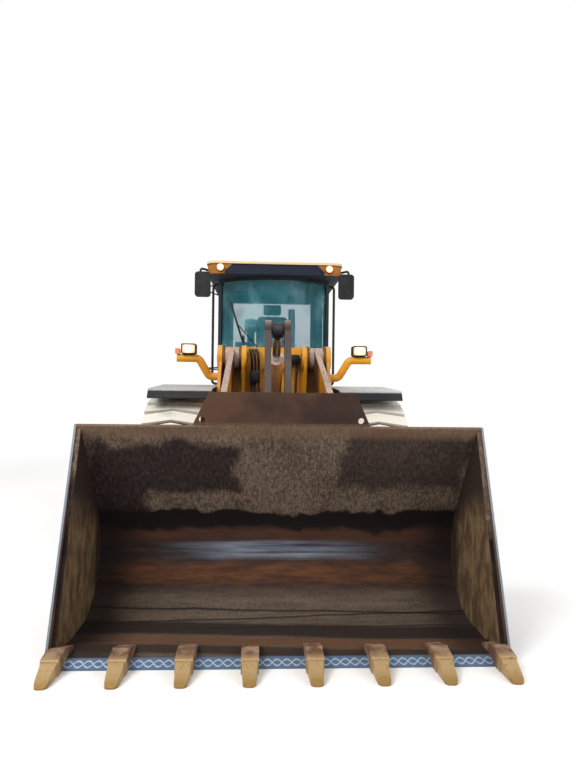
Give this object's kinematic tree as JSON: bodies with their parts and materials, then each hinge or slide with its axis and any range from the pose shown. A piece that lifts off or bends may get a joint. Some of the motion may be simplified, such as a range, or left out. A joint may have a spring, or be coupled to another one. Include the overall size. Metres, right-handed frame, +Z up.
{
  "type": "articulated wheel loader",
  "caption": "Articulated wheel loader: toothed bucket on twin lift arms with a central tilt lever, glazed cab, tilting hood and wide lugged tyres",
  "frame": {"origin": "on the ground under the middle of the overall length and width, bucket flat on the ground", "axes": "+Z up, bucket end towards -Y, +X is the operator's left (door side)"},
  "size_m": [2.882, 8.12, 3.262],
  "materials": {
    "body_yellow": "worn satin",
    "bucket_rust": "rusty, matte",
    "tooth_steel": "worn",
    "dark_paint": "matte",
    "frame_dark": "dusty",
    "chrome_rod": "polished",
    "pin_steel": "plain",
    "tyre_rubber": "dusty",
    "window_glass": "tinted",
    "lamp_lens": "clear",
    "red_lens": "gloss",
    "black_plastic": "matte",
    "seat_fabric": "plain"
  },
  "bodies": {
    "rear_frame": {"access_steps": "dark_paint", "cab_frame": "body_yellow", "cab_glass": "window_glass", "cab_roof": "body_yellow", "counterweight": "frame_dark", "engine_block": "frame_dark", "grab_rails": "black_plastic", "mirrors": "black_plastic", "operator_seat": "seat_fabric", "rear_axle": "frame_dark", "rear_fenders": "dark_paint", "rear_frame": "body_yellow", "rear_lamps": "red_lens", "roof_lamps": "lamp_lens", "side_console": "black_plastic", "side_tanks": "dark_paint", "steering_column": "black_plastic", "steering_wheel": "black_plastic"},
    "front_frame": {"front_frame": "body_yellow", "front_axle": "frame_dark", "front_fenders": "dark_paint", "lamp_arms": "body_yellow", "head_lamps": "lamp_lens", "indicator_lamps": "body_yellow", "arm_pivot_pins": "pin_steel"},
    "lift_arms": {"lift_arms": "body_yellow"},
    "bucket_hinge_pins": {"bucket_hinge_pins": "pin_steel"},
    "bucket": {"bucket": "bucket_rust", "bucket_teeth": "tooth_steel"},
    "lever_pin": {"lever_pin": "pin_steel"},
    "tilt_lever": {"tilt_lever": "dark_paint"},
    "tilt_link": {"tilt_link": "dark_paint", "link_pin": "pin_steel"},
    "tilt_cylinder_barrel": {"tilt_cylinder_barrel": "body_yellow"},
    "tilt_cylinder_rod": {"tilt_cylinder_rod": "chrome_rod"},
    "lift_cylinder_barrels": {"lift_cylinder_barrels": "body_yellow"},
    "lift_cylinder_rods": {"lift_cylinder_rods": "chrome_rod"},
    "steer_cylinder_barrel_left": {"steer_cylinder_barrel_left": "body_yellow"},
    "steer_cylinder_rod_left": {"steer_cylinder_rod_left": "chrome_rod"},
    "steer_cylinder_barrel_right": {"steer_cylinder_barrel_right": "body_yellow"},
    "steer_cylinder_rod_right": {"steer_cylinder_rod_right": "chrome_rod"},
    "cab_door": {"cab_door": "body_yellow", "door_glass": "window_glass"},
    "engine_hood": {"engine_hood": "body_yellow", "cooling_grille": "black_plastic", "exhaust_stack": "frame_dark", "air_precleaner": "frame_dark"},
    "wheel_front_left": {"tyre_front_left": "tyre_rubber", "rim_front_left": "body_yellow"},
    "wheel_front_right": {"tyre_front_right": "tyre_rubber", "rim_front_right": "body_yellow"},
    "wheel_rear_left": {"tyre_rear_left": "tyre_rubber", "rim_rear_left": "body_yellow"},
    "wheel_rear_right": {"tyre_rear_right": "tyre_rubber", "rim_rear_right": "body_yellow"}
  },
  "joints": [
    {"name": "steer", "type": "hinge", "parent": "rear_frame", "child": "front_frame", "pos_m": [0, 0.51, 0.97], "axis": [0, 0, 1], "range_deg": [-40, 40]},
    {"name": "lift", "type": "hinge", "parent": "front_frame", "child": "lift_arms", "pos_m": [0, -0.44, 2.06], "axis": [-1, 0, 0], "range_deg": [0, 80]},
    {"name": "bucket_level", "type": "hinge", "parent": "lift_arms", "child": "bucket_hinge_pins", "pos_m": [0, -2.58, 0.36], "axis": [1, 0, 0], "range_deg": [0, 80]},
    {"name": "tilt", "type": "hinge", "parent": "bucket_hinge_pins", "child": "bucket", "pos_m": [0, -2.58, 0.36], "axis": [1, 0, 0], "range_deg": [-42, 45]},
    {"name": "lever_level", "type": "hinge", "parent": "lift_arms", "child": "lever_pin", "pos_m": [0, -2.296, 1.382], "axis": [-1, 0, 0], "range_deg": [0, 29.05]},
    {"name": "lever_tilt", "type": "hinge", "parent": "lever_pin", "child": "tilt_lever", "pos_m": [0, -2.296, 1.382], "axis": [-1, 0, 0], "range_deg": [-8, 9]},
    {"name": "link_level", "type": "hinge", "parent": "tilt_lever", "child": "tilt_link", "pos_m": [0, -1.637, 0.595], "axis": [-1, 0, 0], "range_deg": [-20, 0]},
    {"name": "tilt_cylinder_pivot", "type": "hinge", "parent": "front_frame", "child": "tilt_cylinder_barrel", "pos_m": [0, -0.553, 1.542], "axis": [-1, 0, 0], "range_deg": [0, 55]},
    {"name": "tilt_cylinder_slide", "type": "slide", "parent": "tilt_cylinder_barrel", "child": "tilt_cylinder_rod", "axis": [0, -0.8829, 0.4696], "range_m": [-0.0884, 0.0826]},
    {"name": "lift_cylinder_pivot", "type": "hinge", "parent": "front_frame", "child": "lift_cylinder_barrels", "pos_m": [0, -0.4, 1.38], "axis": [-1, 0, 0], "range_deg": [0, 65]},
    {"name": "lift_cylinder_slide", "type": "slide", "parent": "lift_cylinder_barrels", "child": "lift_cylinder_rods", "axis": [0, -0.9975, -0.0712], "range_m": [0, 0.8242]},
    {"name": "steer_cylinder_pivot_left", "type": "hinge", "parent": "rear_frame", "child": "steer_cylinder_barrel_left", "pos_m": [0.45, 1.5, 0.54], "axis": [0, 0, 1], "range_deg": [-8, 8]},
    {"name": "steer_cylinder_slide_left", "type": "slide", "parent": "steer_cylinder_barrel_left", "child": "steer_cylinder_rod_left", "axis": [0, -1, 0], "range_m": [-0.3098, 0.3098]},
    {"name": "steer_cylinder_pivot_right", "type": "hinge", "parent": "rear_frame", "child": "steer_cylinder_barrel_right", "pos_m": [-0.45, 1.5, 0.54], "axis": [0, 0, 1], "range_deg": [-8, 8]},
    {"name": "steer_cylinder_slide_right", "type": "slide", "parent": "steer_cylinder_barrel_right", "child": "steer_cylinder_rod_right", "axis": [0, -1, 0], "range_m": [-0.3098, 0.3098]},
    {"name": "door_hinge", "type": "hinge", "parent": "rear_frame", "child": "cab_door", "pos_m": [0.74, 1.09, 2.3], "axis": [0, 0, 1], "range_deg": [0, 90]},
    {"name": "hood_hinge", "type": "hinge", "parent": "rear_frame", "child": "engine_hood", "pos_m": [0, 3.69, 1.54], "axis": [-1, 0, 0], "range_deg": [0, 50]},
    {"name": "spin_front_left", "type": "hinge", "parent": "front_frame", "child": "wheel_front_left", "pos_m": [1.035, -1.09, 0.79], "axis": [1, 0, 0], "continuous": true},
    {"name": "spin_front_right", "type": "hinge", "parent": "front_frame", "child": "wheel_front_right", "pos_m": [-1.035, -1.09, 0.79], "axis": [1, 0, 0], "continuous": true},
    {"name": "spin_rear_left", "type": "hinge", "parent": "rear_frame", "child": "wheel_rear_left", "pos_m": [1.035, 2.11, 0.79], "axis": [1, 0, 0], "continuous": true},
    {"name": "spin_rear_right", "type": "hinge", "parent": "rear_frame", "child": "wheel_rear_right", "pos_m": [-1.035, 2.11, 0.79], "axis": [1, 0, 0], "continuous": true}
  ],
  "couplings": [
    {"joint": "bucket_level", "follows": "lift", "ratio": 1},
    {"joint": "lever_level", "follows": "lift", "ratio": 0.3628},
    {"joint": "lever_tilt", "follows": "tilt", "ratio": 0.1782},
    {"joint": "link_level", "follows": "lift", "ratio": -0.2482},
    {"joint": "tilt_cylinder_pivot", "follows": "lift", "ratio": 0.6858},
    {"joint": "tilt_cylinder_slide", "follows": "tilt", "m_per_rad": -0.1091},
    {"joint": "lift_cylinder_pivot", "follows": "lift", "ratio": 0.8096},
    {"joint": "lift_cylinder_slide", "follows": "lift", "m_per_rad": 0.578},
    {"joint": "steer_cylinder_pivot_left", "follows": "steer", "ratio": 0.184},
    {"joint": "steer_cylinder_slide_left", "follows": "steer", "m_per_rad": -0.4336},
    {"joint": "steer_cylinder_pivot_right", "follows": "steer", "ratio": 0.184},
    {"joint": "steer_cylinder_slide_right", "follows": "steer", "m_per_rad": 0.4336}
  ]
}
